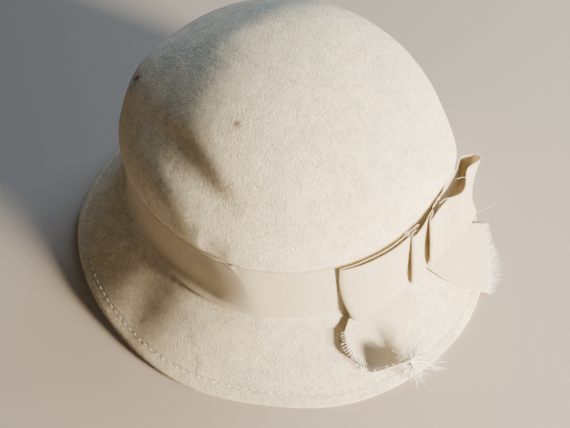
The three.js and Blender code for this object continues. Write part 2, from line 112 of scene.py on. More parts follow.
# Pleated knot: azimuth, radius of the upper and of the lower edge, how far a fold leans round the
# hat, in degrees, and stands off it where it opens most, and how much lower than half-way that is
KNOT = (
    (-10.8, 92.9, 101.2, -0.4, 0.8, 1.6),
    (-11.5, 93.3, 101.8, -1.2, 2.0, 1.6),
    (-11.1, 93.9, 102.4, -1.2, 2.2, 1.6),
    (-9.0, 94.0, 102.6, -0.4, 1.0, 1.6),
    (-6.0, 93.5, 102.1, 0.0, 0.0, 1.0),
    (-3.4, 92.8, 101.2, 0.0, 0.0, 1.0),
    (-0.6, 92.1, 100.3, 0.0, 0.0, 1.0),
    (1.0, 92.1, 100.4, 0.0, 0.0, 1.0),
    (0.6, 92.7, 101.2, 0.0, 0.6, 1.0),
    (-1.6, 93.4, 102.2, -1.2, 2.0, 1.0),
    (-2.7, 93.9, 102.7, -2.4, 3.0, 1.0),
    (-2.2, 94.5, 103.3, -2.3, 3.2, 1.0),
    (0.6, 94.6, 104.0, -0.6, 1.4, 1.0),
    (4.0, 95.0, 105.2, 0.0, 0.3, 1.0),
    (7.4, 96.2, 106.9, 0.0, 0.0, 1.0),
)
# Tails: azimuth, reach down the hat from the band's upper edge, and lift, from the knot to the
# cut end, in rows from the left edge to the right edge
FRONT_TAIL = (
    ((-10.5, 29, 0.85), (-18, 31, 0.85), (-25, 34, 0.9), (-31.8, 39.5, 1.1), (-37.1, 51.5, 4.2)),
    ((-9, 29, 0.85), (-15.9, 34.9, 0.9), (-22.9, 41.4, 1), (-30.2, 51, 1.8), (-36.9, 64.4, 5)),
    ((-7.5, 29, 0.85), (-13.8, 38.8, 0.9), (-20.8, 48.8, 1.1), (-27.4, 61.2, 1.6), (-33.3, 76, 3)),
    ((-6, 29, 0.85), (-11.7, 42.7, 0.95), (-18.7, 56, 1.1), (-25.4, 75, 1.3), (-29.2, 103.5, 1.5)),
    ((-4.5, 29, 0.85), (-9.6, 46.6, 1), (-16.5, 63.2, 1.2), (-21.2, 76.5, 1.3), (-24.7, 91.8, 1.3)),
)
# The line that the front tail's corner is turned up along, by azimuth and reach at its two ends,
# the millimetres in a degree there, and the turn of the fold in degrees and its radius
CORNER_FOLD = ((-33.1, 76.4), (-22.8, 82.4), 2.0, 116.0, 1.6)
BACK_TAIL = (
    ((-3.6, 29, 0.85), (-2.6, 42, 1.6), (-0.2, 58, 2.4), (3.6, 76, 2.2), (8.4, 95, 2)),
    ((-0.8, 29, 0.85), (4, 42, 1), (9, 58, 2.2), (14, 75, 2.4), (18.6, 90, 2.2)),
    ((2.2, 29, 0.85), (11, 42, 1), (20, 57, 2.6), (25.6, 73, 3.4), (29.6, 89, 2.6)),
)

# Creases pressed into the felt: places along each by azimuth and height, the depth, and the
# reach to each side; a negative depth is a ridge
CREASES = (
    (((-131, 115.5), (-119, 118.6), (-108, 118.8), (-98, 117.6), (-89, 115.8), (-81, 113.0), (-73, 109.6)),
     1.2, 5.5),
    (((-122, 107.0), (-108, 108.4), (-96, 108.2), (-86, 106.4)), -0.6, 6.5),
    (((165, 138.6), (-165, 136.8), (-150, 129.6), (-136, 126.2)), -0.5, 9.0),
    (((-112, 96.0), (-96, 94.0), (-82, 96.0)), 0.8, 8.0),
    (((-168, 128.0), (-152, 117.0), (-138, 104.0)), -2.4, 20.0),
)
# Hollows and swellings of the crown's wall that the band follows, given as the creases are
HOLLOWS = (
    (((-92, 72.0), (-86, 62.0), (-81, 50.0), (-78, 40.0)), 1.5, 13.0),
    (((-70, 77.0), (-66.5, 66.0), (-65, 54.0), (-63.5, 39.0)), -0.8, 8.0),
    (((-126, 70.0), (-108, 66.0), (-94, 60.0), (-82, 54.0)), -0.9, 8.0),
    (((-126, 44.0), (-108, 43.0), (-94, 42.0), (-82, 41.0)), 1.5, 8.0),
    (((-82, 90.0), (-72, 87.0)), 1.2, 9.0),
)
# How the band leaves the felt: all of it is drawn in, its lower edge stands off all round and
# flares on one side, and its upper edge stands off on that side. A flare has its middle and its
# spread in azimuth, the height over which it dies out, and how far it stands off.
BAND_DRAWN_IN = 0.45
FOOT_STAND_HEIGHT, FOOT_STAND = 2.5, 0.55
FOOT_FLARE = (-90, 28, 3, 1.6)
TOP_FLARE = (-100, 32, 1.8, 0.6)
# A pinched dart in the band, by azimuth and height, how far it reaches to the sides, and its ridge
# and its valley: how far off its line, how wide and how high each is
DART = ((-72.0, 78.0), (-69.6, 74.6), (-67.5, 71.0), (-66.0, 63.0), (-65.2, 54.0))
DART_REACH = 9
DART_FOLDS = ((-1.5, 1.3, 0.7), (0.5, 0.9, -0.35))

# The moth hole: azimuth, height, and half its width, height and depth
MOTH_HOLE = (-144.6, 117.8, 1.7, 2.8, 4)
# Stains, with painted shade of the moth hole's dark inside in the last row: middle by azimuth, radius and
# height, radius of the spot, its colour and strength
STAINS_AND_HOLE_SHADE = (
    ((-82.7, 46.3, 130.6), 2.3, (0.24, 0.14, 0.04, 1), 0.9),
    ((-82.0, 48.0, 130.2), 1.5, (0.42, 0.30, 0.14, 1), 0.45),
    ((-90.8, 63.6, 120.4), 0.75, (0.10, 0.08, 0.06, 1), 0.8),
    ((-142.1, 77.9, 114.9), 3.0, (0.30, 0.31, 0.33, 1), 0.6),
    # painted shade: the moth hole's dark inside, laid over the hole and the felt round it
    ((-144.6, 75.7, 117.8), 4.4, (0.12, 0.13, 0.16, 1), 0.7),
)
# Locks of the front tail's tuft: angle in the plane of the brim, length, threads, and rise of the
# tips off it, about an azimuth and between two reaches down the hat
TUFT_AZIMUTH, TUFT_UPPER, TUFT_LOWER = -23, 68, 76
TUFT_LOCKS = (
    (82, 17, 8, 4), (66, 19, 9, 5), (50, 18, 8, 4), (30, 13, 6, 3), (6, 12, 6, 0), (-20, 15, 8, -3),
    (-32, 24, 14, -4), (-41, 20, 9, -5), (-72, 16, 8, -5), (-84, 18, 9, -6), (-108, 12, 6, -5),
    (-140, 10, 6, -3), (176, 9, 6, 2), (138, 12, 8, 4), (110, 15, 8, 5),
)

# Camera of the photo, from the crown's axis, with its focal length in widths of the picture
CAMERA_PLACE = (136.334, -190.198, 351.949)
CAMERA_AIM = (18.14, -25.59, 41.34)
CAMERA_FOCAL = 640 / 570
SENSOR_WIDTH = 36
LIGHT_DISTANCE = 1.5
LIGHT_AIM = 0.06

chance = random.Random(7)


# Working by hand

def only(obj):
    """Selects one object and nothing else."""
    bpy.ops.object.select_all(action="DESELECT")
    obj.select_set(True)
    bpy.context.view_layer.objects.active = obj


def finish_with(obj, kind, **settings):
    """Adds a modifier and applies it."""
    only(obj)
    modifier = obj.modifiers.new(kind.lower(), kind)
    for name, value in settings.items():
        setattr(modifier, name, value)
    bpy.ops.object.modifier_apply(modifier=modifier.name)


def smooth_shaded(obj):
    only(obj)
    bpy.ops.object.shade_smooth()


def copied_solid(node, name):
    """A merged copy of a solid, in quads where its triangles pair up."""
    only(frame["nodes"][node])
    bpy.ops.object.duplicate()
    copy = bpy.context.active_object
    copy.name = copy.data.name = name
    copy.parent = None
    del copy["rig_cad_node"]
    copy.data.materials.clear()
    bpy.ops.object.mode_set(mode="EDIT")
    bpy.ops.mesh.select_all(action="SELECT")
    bpy.ops.mesh.remove_doubles(threshold=1e-6)
    bpy.ops.mesh.tris_convert_to_quads()
    bpy.ops.object.mode_set(mode="OBJECT")
    return copy


def dress(obj, node, material):
    """Puts a finished piece in place of its solid."""
    obj.data.materials.clear()
    obj.data.materials.append(material)
    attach(obj, "root")
    if node:
        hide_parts(node)


# Places on the hat

def polar(azimuth, radius, height):
    """A place by its azimuth in degrees, and its radius and height in millimetres."""
    turn = math.radians(azimuth)
    return AXIS + Vector((radius * math.cos(turn), radius * math.sin(turn), height)) * MM


def azimuth_of(point):
    return math.atan2(point.y - AXIS.y, point.x - AXIS.x)


def radius_of(point):
    return math.hypot(point.x - AXIS.x, point.y - AXIS.y)


def bulge(share):
    return 4 * share * (1 - share)


def mixed(a, b, share):
    return a + (b - a) * share


def curve_through(rows):
    """A smooth curve through rows of numbers, with its knots spaced by the root of each step."""
    points = [Vector(row) for row in rows]
    points = [points[0] * 2 - points[1]] + points + [points[-1] * 2 - points[-2]]
    spans = len(rows) - 1

    def at(share):
        place = min(max(share, 0.0), 1.0) * spans
        i = min(int(place), spans - 1)
        layer = points[i:i + 4]
        knots = [0.0]
        for a, b in zip(layer, layer[1:]):
            knots.append(knots[-1] + max((b - a).length, 1e-6) ** 0.5)
        t = mixed(knots[1], knots[2], place - i)
        for pairs in (((0, 1), (1, 2), (2, 3)), ((0, 2), (1, 3)), ((1, 2),)):
            layer = [
                mixed(a, b, (t - knots[low]) / (knots[high] - knots[low]))
                for a, b, (low, high) in zip(layer, layer[1:], pairs)
            ]
        return layer[0]

    return at


# Felt

def skin_of(obj):
    """The surface of a piece, for finding places on it."""
    return BVHTree.FromObject(obj, bpy.context.evaluated_depsgraph_get())


def wall_spot(skin, azimuth, height):
    """The place on the outside of a skin at an azimuth and a height, and the way out of it."""
    outward = polar(azimuth, 1000, 0) - AXIS
    return skin.ray_cast(AXIS + outward * 0.3 + Vector((0, 0, height * MM)), -outward)[:2]


def near_line(point, line):
    """How far a point is from a line of places, and how far along it the nearest one is."""
    best, share, total = 1.0, 0.0, len(line) - 1
    for k, (a, b) in enumerate(zip(line, line[1:])):
        step = b - a
        t = min(max((point - a).dot(step) / step.length_squared, 0.0), 1.0)
        gap = (point - a - step * t).length
        if gap < best:
            best, share = gap, (k + t) / total
    return best, share


def press(cloth, skin, places, depth, reach):
    """Presses a crease along places on a skin into cloth, deepest half-way and easing out at its ends."""
    spots = [wall_spot(skin, *place) for place in places]
    line = [place for place, _ in spots]
    middle = sum(line, Vector()) / len(line)
    span = max((place - middle).length for place in line) + 3 * reach * MM
    for vertex in cloth.data.vertices:
        if (vertex.co - middle).length > span:
            continue
        gap, share = near_line(vertex.co, line)
        ease = math.exp(-(gap / (reach * MM)) ** 2) * bulge(mixed(0.06, 0.94, share)) ** 0.6
        k = min(int(share * (len(spots) - 1)), len(spots) - 2)
        out = mixed(spots[k][1], spots[k + 1][1], share * (len(spots) - 1) - k)
        vertex.co -= out * depth * MM * ease


def moth_hole(felt):
    """Cuts a small drop-shaped hole through the felt."""
    azimuth, height, half_width, half_height, half_depth = MOTH_HOLE
    place, normal = wall_spot(skin_of(felt), azimuth, height)
    bpy.ops.object.select_all(action="DESELECT")
    bpy.ops.mesh.primitive_cylinder_add(vertices=18, radius=1.0, depth=2.0)
    cutter = bpy.context.active_object
    level = Vector((0, 0, 1)).cross(normal).normalized()
    up = normal.cross(level)
    for vertex in cutter.data.vertices:
        x, y, z = vertex.co
        x *= 0.75 - 0.3 * y
        aside = level * (x + 0.3 * y) * half_width
        vertex.co = place + (aside + up * y * half_height + normal * z * half_depth) * MM
    finish_with(felt, "BOOLEAN", object=cutter, operation="DIFFERENCE", solver="EXACT")
    bpy.data.objects.remove(cutter)


def felt_hood():
    """Crown and brim, from a copy of the solid with its facets smoothed out and creases pressed in."""
    felt = copied_solid("felt_body", "felt_hat")
    finish_with(felt, "SUBSURF", levels=2, render_levels=2)
    plain = skin_of(felt)
    for crease in CREASES + HOLLOWS:
        press(felt, plain, *crease)
    moth_hole(felt)
    smooth_shaded(felt)
    return felt, plain


felt_hat, plain_skin = felt_hood()
felt_skin = skin_of(felt_hat)


def outside_line(azimuth):
    """Points down the outside of the hat at an azimuth, from the band's upper edge to the brim's."""
    outward = polar(azimuth, 1000, 0) - AXIS
    line = []
    for k in range(21):
        height = mixed(BAND_TOP, BAND_FOOT, k / 20)
        line.append(wall_spot(felt_skin, azimuth, height)[0] + outward * BAND_OUT * MM)
    start = radius_of(line[-1]) / MM
    for k in range(60):
        hit = felt_skin.ray_cast(polar(azimuth, start + k, 200), DOWN)[0]
        if hit is None or hit.z < EDGE_LOW * MM:
            break
        ease = max(0.0, 1 - k / BAND_STEP) * BAND_OUT * MM
        line.append(hit + Vector((0, 0, ease)))
    return line


lines = {}


def on_line(azimuth, reach):
    """The place at a reach down that line, and straight on past its end."""
    key = round(azimuth * 4)
    if key not in lines:
        lines[key] = outside_line(key / 4)
    line = lines[key]
    left = reach * MM
    for a, b in zip(line, line[1:]):
        step = (b - a).length
        if left <= step:
            return mixed(a, b, left / step)
        left -= step
    away = (line[-1] - line[-4]).normalized()
    return line[-1] + away * left


def on_hat(azimuth, reach, lift=0.0):
    """A place on the outside of the hat, lifted off it."""
    low, high = math.floor(azimuth * 4) / 4, math.ceil(azimuth * 4 + 1e-9) / 4
    share = (azimuth - low) * 4 if high > low else 0.0

    def at(distance):
        here, there = on_line(low, distance), on_line(high, distance)
        return mixed(here, there, share)

    down = (at(reach + 4) - at(max(reach - 4, 0))).normalized()
    side = polar(azimuth + 90, 1000, 0) - AXIS
    out = down.cross(side).normalized()
    return at(reach) + out * lift * MM


# Ribbon

def ribbon(name, node, along, across, length, place):
    """A strip of ribbon in place of a node, from a grid, with its weave laid out in metres."""
    bpy.ops.object.select_all(action="DESELECT")
    bpy.ops.mesh.primitive_grid_add(x_subdivisions=along, y_subdivisions=across, size=2)
    strip = bpy.context.active_object
    strip.name = strip.data.name = name
    shares = [((v.co.x + 1) / 2, (v.co.y + 1) / 2) for v in strip.data.vertices]
    for vertex, (t, s) in zip(strip.data.vertices, shares):
        vertex.co = place(t, s)
    for loop in strip.data.loops:
        t, s = shares[loop.vertex_index]
        strip.data.uv_layers.active.data[loop.index].uv = (t * length * MM, s * RIBBON_WIDTH * MM)
    finish_with(strip, "SUBSURF", levels=1, render_levels=1)
    finish_with(strip, "SOLIDIFY", thickness=RIBBON_THICK * MM, offset=0.0)
    smooth_shaded(strip)
    dress(strip, node, ribbon_cloth)
    return strip


def loop_place(rows):
    """A loop of the bow, folded back on itself at its far end."""
    upper = curve_through([polar(row[0], row[1], BAND_TOP + row[4]) for row in rows])
    lower = curve_through([polar(row[2], row[3], BAND_FOOT - row[5]) for row in rows])
    drawn = curve_through([(row[6], row[7], 0) for row in rows])

    def place(t, s):
        point = mixed(upper(t), lower(t), s)
        waist, lean, _ = drawn(t) * bulge(s)
        azimuth = math.degrees(azimuth_of(point)) + lean
        return polar(azimuth, radius_of(point) / MM - waist, point.z / MM)

    return place


def knot_place(t, s):
    """A place on the pleated knot."""
    rows = []
    for azimuth, top, low, lean, stand, lower in KNOT:
        open_here = bulge(s ** lower)
        radius = mixed(top, low, s) + stand * open_here
        rows.append(polar(azimuth + lean * open_here, radius, mixed(BAND_TOP, BAND_FOOT, s)))
    return curve_through(rows)(t)


def turned_up(azimuth, reach, lift):
    """The place of a point of the front tail after its corner is folded up off the brim."""
    (start, from_reach), (end, to_reach), degree, turn, bend = CORNER_FOLD
    line = Vector(((end - start) * degree, to_reach - from_reach)).normalized()
    past = Vector((-line.y, line.x))
    over = past.dot(Vector(((azimuth - start) * degree, reach - from_reach)))
    if over <= 0:
        return azimuth, reach, lift
    angle = min(over / bend, math.radians(turn))
    beyond = over - angle * bend
    flat = bend * math.sin(angle) + beyond * math.cos(angle)
    high = bend * (1 - math.cos(angle)) + beyond * math.sin(angle)
    back = past * (over - flat)
    return azimuth - back.x / degree, reach - back.y, lift + high


def tail_place(rows, fold=None):
    """A tail over the hat, with a fold where one is given."""
    edges = [curve_through(row) for row in rows]

    def place(t, s):
        spot = curve_through([edge(t) for edge in edges])(s)
        return on_hat(*(fold(*spot) if fold else spot))

    return place


def shape_band(band):
    """Draws the band in to the felt, stands its edges off it and pinches its dart."""
    foot_at, foot_spread, foot_height, foot_out = FOOT_FLARE
    top_at, top_spread, top_height, top_out = TOP_FLARE
    for hollow in HOLLOWS:
        press(band, plain_skin, *hollow)
    line = [wall_spot(felt_skin, *place)[0] for place in DART]
    for vertex in band.data.vertices:
        azimuth, height = math.degrees(azimuth_of(vertex.co)), vertex.co.z / MM
        out = Vector((vertex.co.x - AXIS.x, vertex.co.y - AXIS.y, 0)).normalized()
        above, below = height - BAND_FOOT, BAND_TOP - height
        flare = math.exp(-((azimuth - foot_at) / foot_spread) ** 2) * max(0.0, 1 - above / foot_height)
        move = -BAND_DRAWN_IN
        move += foot_out * flare ** 1.5 + FOOT_STAND * max(0.0, 1 - above / FOOT_STAND_HEIGHT)
        move += top_out * math.exp(-((azimuth - top_at) / top_spread) ** 2 - (below / top_height) ** 2)
        gap, share = near_line(vertex.co, line)
        if gap < DART_REACH * MM:
            side = azimuth - mixed(DART[0][0], DART[-1][0], share)
            across = math.copysign(gap / MM, side)
            fold = sum(rise * math.exp(-((across - off) / wide) ** 2) for off, wide, rise in DART_FOLDS)
            move += (1 - share) ** 1.3 * fold
        vertex.co += out * move * MM


def band_ribbon():
    """The band, from the outer skin of its solid."""
    band = copied_solid("band", "ribbon_band")
    bpy.ops.object.mode_set(mode="EDIT")
    bpy.ops.mesh.select_mode(type="FACE")
    bpy.ops.mesh.select_all(action="DESELECT")
    bpy.ops.object.mode_set(mode="OBJECT")
    for face in band.data.polygons:
        out = Vector((face.center.x - AXIS.x, face.center.y - AXIS.y, 0)).normalized()
        face.select = face.normal.dot(out) < 0.5
    bpy.ops.object.mode_set(mode="EDIT")
    bpy.ops.mesh.delete(type="FACE")
    bpy.ops.object.mode_set(mode="OBJECT")
    finish_with(band, "SUBSURF", levels=3, render_levels=3)
    shape_band(band)
    layout = band.data.uv_layers.active or band.data.uv_layers.new(name="weave")
    for face in band.data.polygons:
        turns = [azimuth_of(band.data.vertices[v].co) for v in face.vertices]
        wrap = max(turns) - min(turns) > math.pi
        for loop, turn, v in zip(face.loop_indices, turns, face.vertices):
            round_it = turn + 2 * math.pi if wrap and turn < 0 else turn
            layout.data[loop].uv = (round_it * BAND_RADIUS * MM, BAND_TOP * MM - band.data.vertices[v].co.z)
    finish_with(band, "SOLIDIFY", thickness=RIBBON_THICK * MM, offset=-1.0)
    smooth_shaded(band)
    dress(band, "band", ribbon_cloth)
    return band


# Threads

def threads(name, lines_of_points, thick, material):
    """Thin tapered threads, each along its own line of points."""
    curve = bpy.data.curves.new(name, "CURVE")
    curve.dimensions = "3D"
    curve.bevel_depth = thick * MM / 2
    curve.bevel_resolution = 0
    curve.use_fill_caps = True
    for points in lines_of_points:
        spline = curve.splines.new("POLY")
        spline.points.add(len(points) - 1)
        for k, (spot, point) in enumerate(zip(spline.points, points)):
            spot.co = (*point, 1)
            spot.radius = mixed(1.0, 0.45, k / (len(points) - 1))
    obj = bpy.data.objects.new(name, curve)
    bpy.context.scene.collection.objects.link(obj)
    only(obj)
    bpy.ops.object.convert(target="MESH")
    obj = bpy.context.active_object
    smooth_shaded(obj)
    dress(obj, None, material)
    return obj


def curled(root, way, up, length, rise, curl, count=6):
    """A thread's line from its root, curling a little to the sides and rising at its tip."""
    side = way.cross(up).normalized()
    bend = chance.uniform(-curl, curl)
    wave = chance.uniform(-curl, curl) * 0.5
    points = []
    for k in range(count):
        s = k / (count - 1)
        sway = bend * s * s + wave * math.sin(s * 5)
        point = root + (way * length * s + side * length * sway + up * rise * s * s) * MM
        point.z = max(point.z, FLOOR_GAP * MM)
        points.append(point)
    return points


def cut_end_fray(place, spots, length_at, fan, rise, curl):
    """Threads that stand out of a tail's cut end."""
    made = []
    for k in range(spots):
        s = min(max((k + chance.uniform(0.1, 0.9)) / spots, 0.004), 0.996)
        tip, before = place(1.0, s), place(0.94, s)
        way = (tip - before).normalized()
        side = (place(1.0, min(s + 0.03, 1)) - place(1.0, max(s - 0.03, 0))).normalized()
        up = side.cross(way).normalized()
        if up.z < 0:
            up.negate()
        turn = math.radians(chance.uniform(-fan, fan))
        way = way * math.cos(turn) + side * math.sin(turn)
        length = length_at(s) * chance.uniform(0.7, 1.15)
        root = tip - way * 1.0 * MM + up * chance.uniform(-0.15, 0.15) * MM
        made.append(curled(root, way, up, length, rise * chance.uniform(0.2, 1.0), curl))
    return made


def cut_end_teeth(place, teeth, strands, length):
    """Short ends of the cross threads along a slanted cut, drawn together in teeth."""
    made = []
    for k in range(teeth):
        middle = (k + 0.5 + chance.uniform(-0.15, 0.15)) / teeth
        reach = length * chance.uniform(0.75, 1.2)
        for _ in range(strands):
            s = min(max(middle + chance.uniform(-0.3, 0.3) / teeth, 0.02), 0.97)
            root = place(0.965, s)
            edge = (place(1.0, s + 0.02) - place(1.0, s - 0.02)).normalized()
            down = place(1.0, s) - place(0.95, s)
            way = (down - edge * down.dot(edge)).normalized()
            top = edge.cross(way).normalized()
            if top.z < 0:
                top.negate()
            way = (way + edge * mixed(0.5, -0.1, (s - middle) * teeth + 0.5)).normalized()
            spots = ((0.0, 0.35), (0.4, 0.7), (1.0, 0.5))
            made.append([root + (way * reach * far + top * lift) * MM for far, lift in spots])
    return made


def brim_edge():
    """The radius of the brim's edge, every two degrees."""
    edge = {}
    for vertex in felt_hat.data.vertices:
        if vertex.co.z < EDGE_HIGH * MM:
            key = round(math.degrees(azimuth_of(vertex.co)) / 2) % 180
            edge[key] = max(edge.get(key, 0), radius_of(vertex.co) / MM)
    return edge


edge_radius = brim_edge()


def edge_at(azimuth):
    """The radius of the brim's edge at an azimuth."""
    place = (azimuth / 2) % 180
    low = int(place)
    return mixed(edge_radius[low], edge_radius[(low + 1) % 180], place - low)


def mark_inset(felt):
    """Notes how far each point of the brim is inside its edge, for the groove of the stitches."""
    inset = felt.data.attributes.new("inset", "FLOAT", "POINT")
    for vertex, value in zip(felt.data.vertices, inset.data):
        azimuth = math.degrees(azimuth_of(vertex.co))
        top = vertex.co.z > 3 * MM and vertex.normal.z > 0.2 and vertex.co.z < 30 * MM
        value.value = (edge_at(azimuth) - radius_of(vertex.co) / MM) if top else 100.0


mark_inset(felt_hat)


def stitch_row():
    """Running stitches along the turned edge of the brim, one modelled and copied."""
    bpy.ops.object.select_all(action="DESELECT")
    bpy.ops.mesh.primitive_uv_sphere_add(segments=8, ring_count=6, radius=1.0)
    stitch = bpy.context.active_object
    stitch.name = stitch.data.name = "hem_stitches"
    bpy.ops.object.mode_set(mode="EDIT")
    bpy.ops.mesh.select_all(action="SELECT")
    bpy.ops.transform.resize(value=[half * MM for half in STITCH_HALVES])
    bpy.ops.object.mode_set(mode="OBJECT")
    count = round(sum(edge_radius.values()) / len(edge_radius) * 2 * math.pi / STITCH_PITCH)

    def spot(azimuth):
        return felt_skin.ray_cast(polar(azimuth, edge_at(azimuth) - STITCH_INSET, 60), DOWN)[:2]

    copies = []
    for k in range(count):
        azimuth = 360 * k / count
        here, normal = spot(azimuth)
        along = (spot(azimuth + 1)[0] - spot(azimuth - 1)[0]).normalized()
        across = normal.cross(along).normalized()
        only(stitch)
        bpy.ops.object.duplicate()
        copy = bpy.context.active_object
        lean = chance.uniform(-0.05, 0.05)
        for vertex in copy.data.vertices:
            x, y, z = vertex.co
            vertex.co = here + along * x + across * (y + lean * x) + normal * (z - STITCH_SUNK * MM)
        copies.append(copy)
    bpy.ops.object.select_all(action="DESELECT")
    for copy in copies:
        copy.select_set(True)
    bpy.context.view_layer.objects.active = copies[0]
    bpy.ops.object.join()
    row = bpy.context.active_object
    bpy.data.objects.remove(stitch)
    row.name = row.data.name = "hem_stitches"
    smooth_shaded(row)
    dress(row, None, hem_thread)


# Finishes

def put(tree, kind, settings=None, inputs=None):
    """A node with its settings and its inputs, each a value or another node's output."""
    node = tree.nodes.new(kind)
    for name, value in (settings or {}).items():
        setattr(node, name, value)
    for name, value in (inputs or {}).items():
        if isinstance(value, bpy.types.NodeSocket):
            tree.links.new(value, node.inputs[name])
        else:
            node.inputs[name].default_value = value
    return node


def blend_colours(tree, share, low, high):
    """A colour a share of the way from one colour to another."""
    node = put(tree, "ShaderNodeMix", {"data_type": "RGBA"})
    for socket, value in ((node.inputs[0], share), (node.inputs[6], low), (node.inputs[7], high)):
        if isinstance(value, bpy.types.NodeSocket):
            tree.links.new(value, socket)
        else:
            socket.default_value = value
    return node.outputs[2]


def ramp(tree, value, low, high, start=0.0, end=1.0):
    """A value eased from a start to an end while another goes from low to high."""
    node = put(tree, "ShaderNodeMapRange", {"interpolation_type": "SMOOTHSTEP"}, {
        "Value": value, "From Min": low, "From Max": high, "To Min": start, "To Max": end,
    })
    return node.outputs["Result"]


def sums(tree, operation, a, b):
    return put(tree, "ShaderNodeMath", {"operation": operation}, {0: a, 1: b}).outputs[0]


def shaded(tree, colour, share):
    """A colour made darker or lighter by a share."""
    return put(tree, "ShaderNodeVectorMath", {"operation": "SCALE"}, {0: colour, "Scale": share}).outputs[0]


def new_group(name, ins, outs):
    """A shader node group with named sockets, and its inner ends."""
    group = bpy.data.node_groups.new(name, "ShaderNodeTree")
    for socket, kind, default in ins:
        made = group.interface.new_socket(socket, in_out="INPUT", socket_type=kind)
        if default is not None:
            made.default_value = default
    for socket, kind in outs:
        group.interface.new_socket(socket, in_out="OUTPUT", socket_type=kind)
    return group, group.nodes.new("NodeGroupInput").outputs, group.nodes.new("NodeGroupOutput").inputs


def cloth_clouds_group():
    """Uneven ageing of cloth: broad clouds and small flecks, as a colour and two masks."""
    group, given, out = new_group("cloth_clouds", (
        ("Vector", "NodeSocketVector", None),
        ("Cloud Scale", "NodeSocketFloat", 16.0),
        ("Fleck Scale", "NodeSocketFloat", 900.0),
        ("Clean", "NodeSocketColor", (0.8, 0.8, 0.8, 1)),
        ("Grey", "NodeSocketColor", (0.7, 0.7, 0.7, 1)),
        ("Yellowed", "NodeSocketColor", (0.8, 0.7, 0.5, 1)),
    ), (("Color", "NodeSocketColor"), ("Cloud", "NodeSocketFloat"), ("Fleck", "NodeSocketFloat")))
    cloud = put(group, "ShaderNodeTexNoise", None, {
        "Vector": given["Vector"], "Scale": given["Cloud Scale"], "Detail": 3.0, "Roughness": 0.55,
    }).outputs[0]
    patch_scale = sums(group, "MULTIPLY", given["Cloud Scale"], 2.7)
    patch = put(group, "ShaderNodeTexNoise", {"noise_dimensions": "4D"}, {
        "Vector": given["Vector"], "W": 3.7, "Scale": patch_scale, "Detail": 4.0, "Roughness": 0.6,
    }).outputs[0]
    fleck = put(group, "ShaderNodeTexNoise", None, {
        "Vector": given["Vector"], "Scale": given["Fleck Scale"], "Detail": 2.0, "Roughness": 0.6,
    }).outputs[0]
    grey = blend_colours(group, ramp(group, cloud, 0.45, 0.75), given["Clean"], given["Grey"])
    aged = blend_colours(group, ramp(group, patch, 0.5, 0.8), grey, given["Yellowed"])
    group.links.new(shaded(group, aged, ramp(group, fleck, 0.3, 0.7, 0.9, 1.04)), out["Color"])
    group.links.new(cloud, out["Cloud"])
    group.links.new(fleck, out["Fleck"])
    return group


def spot_group():
    """A soft round spot about a place, as a mask."""
    group, given, out = new_group("soft_spot", (
        ("Vector", "NodeSocketVector", None),
        ("Middle", "NodeSocketVector", None),
        ("Radius", "NodeSocketFloat", 0.001),
    ), (("Mask", "NodeSocketFloat"),))
    wobble = put(group, "ShaderNodeTexNoise", None, {"Vector": given["Vector"], "Scale": 700.0}).outputs[0]
    far = put(group, "ShaderNodeVectorMath", {"operation": "DISTANCE"}, {
        0: given["Vector"], 1: given["Middle"],
    }).outputs["Value"]
    ragged = sums(group, "MULTIPLY", far, ramp(group, wobble, 0.3, 0.7, 0.7, 1.4))
    share = sums(group, "DIVIDE", ragged, given["Radius"])
    group.links.new(ramp(group, share, 0.1, 1.3, 1.0, 0.0), out["Mask"])
    return group


cloth_clouds = cloth_clouds_group()
soft_spot = spot_group()


def finish(name, roughness, sheen, sheen_roughness):
    """A new material with its shader and its place on the piece."""
    material = bpy.data.materials.new(name)
    material.use_nodes = True
    tree = material.node_tree
    shader = tree.nodes["Principled BSDF"]
    shader.inputs["Roughness"].default_value = roughness
    shader.inputs["Sheen Weight"].default_value = sheen
    shader.inputs["Sheen Roughness"].default_value = sheen_roughness
    shader.inputs["Sheen Tint"].default_value = (1.0, 0.98, 0.94, 1)
    shader.inputs["Specular IOR Level"].default_value = 0.25
    where = put(tree, "ShaderNodeTexCoord")
    return material, tree, shader, where


def clouds(tree, vector, cloud, fleck, clean, grey, yellowed):
    """Unevenly aged cloth of three colours."""
    return put(tree, "ShaderNodeGroup", {"node_tree": cloth_clouds}, {
        "Vector": vector, "Cloud Scale": cloud, "Fleck Scale": fleck,
        "Clean": (*clean, 1), "Grey": (*grey, 1), "Yellowed": (*yellowed, 1),
    }).outputs


def bump_into(tree, shader, height, strength, distance):
    node = put(tree, "ShaderNodeBump", None, {"Height": height, "Strength": strength, "Distance": distance})
    tree.links.new(node.outputs[0], shader.inputs["Normal"])


